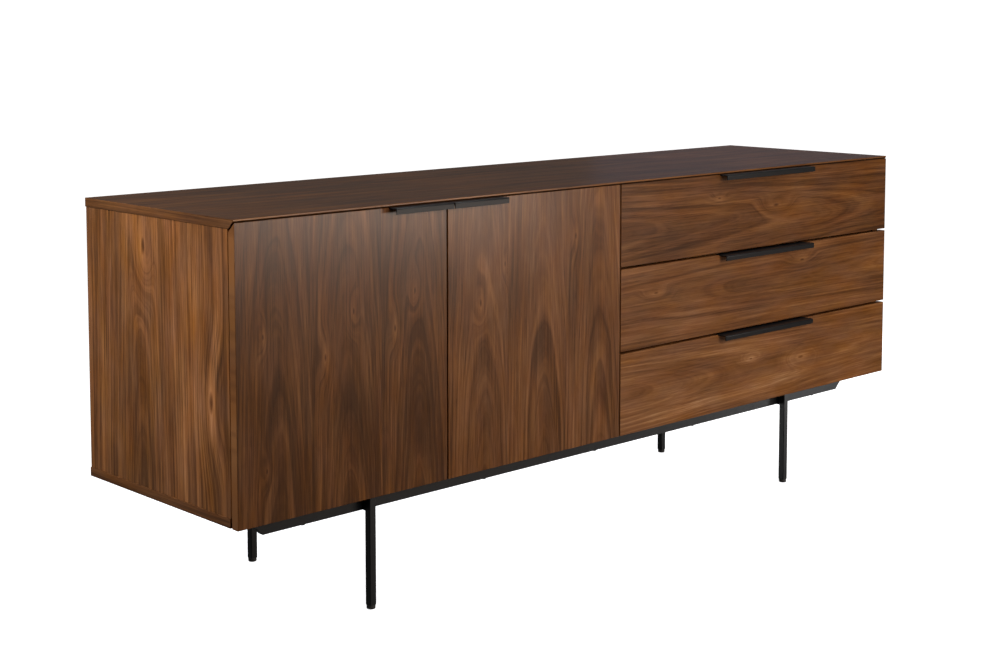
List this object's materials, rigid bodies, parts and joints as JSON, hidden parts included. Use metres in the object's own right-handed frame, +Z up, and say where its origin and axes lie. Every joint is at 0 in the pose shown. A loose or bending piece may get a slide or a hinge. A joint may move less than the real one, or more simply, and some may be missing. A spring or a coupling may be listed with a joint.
{
  "type": "office credenza",
  "caption": "Low wood office credenza with a hinged-door bay beside a stack of drawers, mitred front edges, metal edge pulls and a slim steel underframe.",
  "frame": {"origin": "on the floor, centred in width and in overall depth (pulls included)", "axes": "+X to the right seen from the front, +Y to the back, +Z up"},
  "size_m": [1.8, 0.475, 0.714],
  "materials": {
    "walnut_veneer": "oiled walnut veneer, fine open grain",
    "drawer_box_board": "lacquered birch ply, satin",
    "pull_steel": "blackened steel, satin lacquer",
    "frame_steel": "black powder coat, fine satin",
    "hinge_steel": "nickel-plated pressed steel",
    "slide_steel": "zinc-plated rolled steel",
    "fastener_steel": "zinc-plated steel",
    "glide_plastic": "moulded grey nylon, matte"
  },
  "bodies": {
    "carcass": {"top_panel": "walnut_veneer", "bottom_panel": "walnut_veneer", "left_side_panel": "walnut_veneer", "right_side_panel": "walnut_veneer", "divider_panel": "walnut_veneer", "left_back_panel": "walnut_veneer", "right_back_panel": "walnut_veneer", "shelf": "walnut_veneer", "shelf_pegs": "fastener_steel", "left_hinge_plates": "hinge_steel", "left_hinge_arms": "hinge_steel", "right_hinge_plates": "hinge_steel", "right_hinge_arms": "hinge_steel", "top_slide_cabinet_members": "slide_steel", "middle_slide_cabinet_members": "slide_steel", "bottom_slide_cabinet_members": "slide_steel", "front_rail": "frame_steel", "rear_rail": "frame_steel", "cross_tubes": "frame_steel", "leg_spacers": "frame_steel", "front_left_leg": "frame_steel", "front_right_leg": "frame_steel", "rear_left_leg": "frame_steel", "rear_right_leg": "frame_steel", "glides": "glide_plastic"},
    "left_door": {"left_door": "walnut_veneer", "left_door_pull": "pull_steel", "left_hinge_cups": "hinge_steel"},
    "left_cranks": {"left_hinge_cranks": "hinge_steel"},
    "left_couplers": {"left_hinge_couplers": "hinge_steel"},
    "right_door": {"right_door": "walnut_veneer", "right_door_pull": "pull_steel", "right_hinge_cups": "hinge_steel"},
    "right_cranks": {"right_hinge_cranks": "hinge_steel"},
    "right_couplers": {"right_hinge_couplers": "hinge_steel"},
    "top_drawer": {"top_drawer_front": "walnut_veneer", "top_drawer_pull": "pull_steel", "top_drawer_left_side": "drawer_box_board", "top_drawer_right_side": "drawer_box_board", "top_drawer_back": "drawer_box_board", "top_drawer_bottom": "drawer_box_board", "top_slide_drawer_members": "slide_steel"},
    "top_middle_members": {"top_slide_middle_members": "slide_steel"},
    "middle_drawer": {"middle_drawer_front": "walnut_veneer", "middle_drawer_pull": "pull_steel", "middle_drawer_left_side": "drawer_box_board", "middle_drawer_right_side": "drawer_box_board", "middle_drawer_back": "drawer_box_board", "middle_drawer_bottom": "drawer_box_board", "middle_slide_drawer_members": "slide_steel"},
    "middle_middle_members": {"middle_slide_middle_members": "slide_steel"},
    "bottom_drawer": {"bottom_drawer_front": "walnut_veneer", "bottom_drawer_pull": "pull_steel", "bottom_drawer_left_side": "drawer_box_board", "bottom_drawer_right_side": "drawer_box_board", "bottom_drawer_back": "drawer_box_board", "bottom_drawer_bottom": "drawer_box_board", "bottom_slide_drawer_members": "slide_steel"},
    "bottom_middle_members": {"bottom_slide_middle_members": "slide_steel"}
  },
  "joints": [
    {"name": "left_door_hinge", "type": "hinge", "parent": "carcass", "child": "left_door", "pos_m": [-0.898, -0.2175, 0.4608], "axis": [0, 0, -1], "range_deg": [0, 86]},
    {"name": "left_crank_pivot", "type": "hinge", "parent": "carcass", "child": "left_cranks", "pos_m": [-0.874, -0.1945, 0.4608], "axis": [0, 0, -1], "range_deg": [0, 86]},
    {"name": "left_coupler_pivot", "type": "hinge", "parent": "left_door", "child": "left_couplers", "pos_m": [-0.874, -0.2075, 0.4608], "axis": [0, 0, 1], "range_deg": [0, 86]},
    {"name": "right_door_hinge", "type": "hinge", "parent": "carcass", "child": "right_door", "pos_m": [-0.0016, -0.2175, 0.4608], "axis": [0, 0, 1], "range_deg": [0, 86]},
    {"name": "right_crank_pivot", "type": "hinge", "parent": "carcass", "child": "right_cranks", "pos_m": [-0.0256, -0.1945, 0.4608], "axis": [0, 0, 1], "range_deg": [0, 86]},
    {"name": "right_coupler_pivot", "type": "hinge", "parent": "right_door", "child": "right_couplers", "pos_m": [-0.0256, -0.2075, 0.4608], "axis": [0, 0, -1], "range_deg": [0, 86]},
    {"name": "top_drawer_slide", "type": "slide", "parent": "carcass", "child": "top_drawer", "axis": [0, -1, 0], "range_m": [0, 0.38]},
    {"name": "top_member_slide", "type": "slide", "parent": "carcass", "child": "top_middle_members", "axis": [0, -1, 0], "range_m": [0, 0.19]},
    {"name": "middle_drawer_slide", "type": "slide", "parent": "carcass", "child": "middle_drawer", "axis": [0, -1, 0], "range_m": [0, 0.38]},
    {"name": "middle_member_slide", "type": "slide", "parent": "carcass", "child": "middle_middle_members", "axis": [0, -1, 0], "range_m": [0, 0.19]},
    {"name": "bottom_drawer_slide", "type": "slide", "parent": "carcass", "child": "bottom_drawer", "axis": [0, -1, 0], "range_m": [0, 0.38]},
    {"name": "bottom_member_slide", "type": "slide", "parent": "carcass", "child": "bottom_middle_members", "axis": [0, -1, 0], "range_m": [0, 0.19]}
  ],
  "couplings": [
    {"joint": "left_crank_pivot", "follows": "left_door_hinge", "ratio": 1},
    {"joint": "left_coupler_pivot", "follows": "left_door_hinge", "ratio": 1},
    {"joint": "right_crank_pivot", "follows": "right_door_hinge", "ratio": 1},
    {"joint": "right_coupler_pivot", "follows": "right_door_hinge", "ratio": 1},
    {"joint": "top_member_slide", "follows": "top_drawer_slide", "ratio": 0.5},
    {"joint": "middle_member_slide", "follows": "middle_drawer_slide", "ratio": 0.5},
    {"joint": "bottom_member_slide", "follows": "bottom_drawer_slide", "ratio": 0.5}
  ]
}
